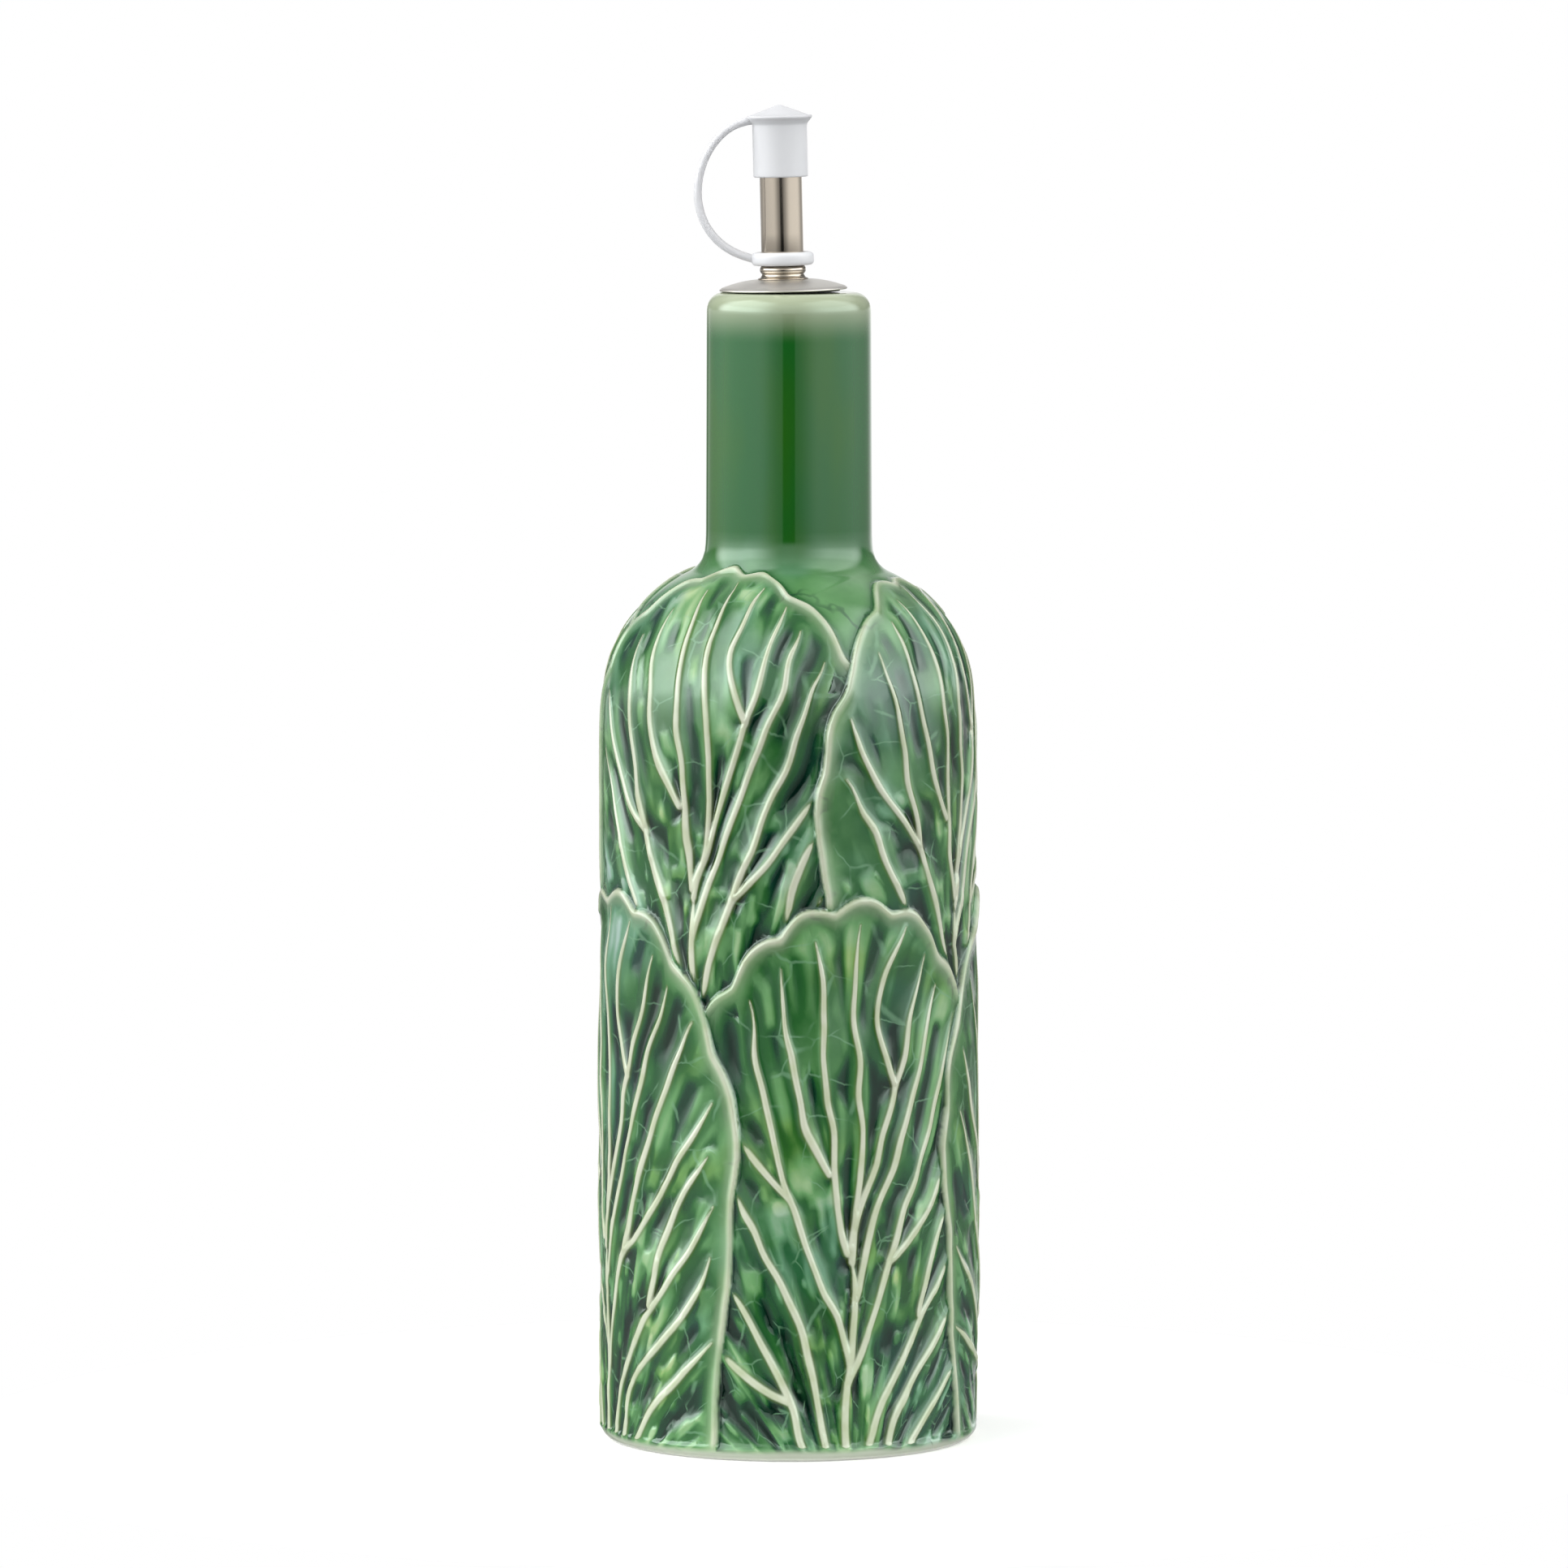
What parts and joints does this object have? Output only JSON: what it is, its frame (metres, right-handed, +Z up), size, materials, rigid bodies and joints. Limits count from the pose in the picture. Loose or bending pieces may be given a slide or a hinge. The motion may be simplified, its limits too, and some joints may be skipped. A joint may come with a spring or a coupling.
{
  "type": "ceramic bottle",
  "caption": "Tall glazed ceramic oil bottle moulded with overlapping leaves, with a steel pourer and a tethered plastic cap.",
  "frame": {"origin": "centre of the base, in the plane of the foot ring", "axes": "+Z up along the bottle, -Y the side shown in the picture, -X the side with the cap's strap"},
  "size_m": [0.0911, 0.0906, 0.3163],
  "materials": {
    "green_glaze": "clear green glaze, dark where it pools and pale cream on the raised veins and rims",
    "black_rubber": "matt black",
    "polished_steel": "polished",
    "satin_steel": "satin, turned",
    "white_plastic": "translucent white, soft sheen"
  },
  "bodies": {
    "root": {"bottle": "green_glaze", "stopper_washer": "black_rubber", "pourer_plate": "polished_steel", "pourer_tube": "satin_steel", "tether_cap": "white_plastic"}
  },
  "joints": []
}
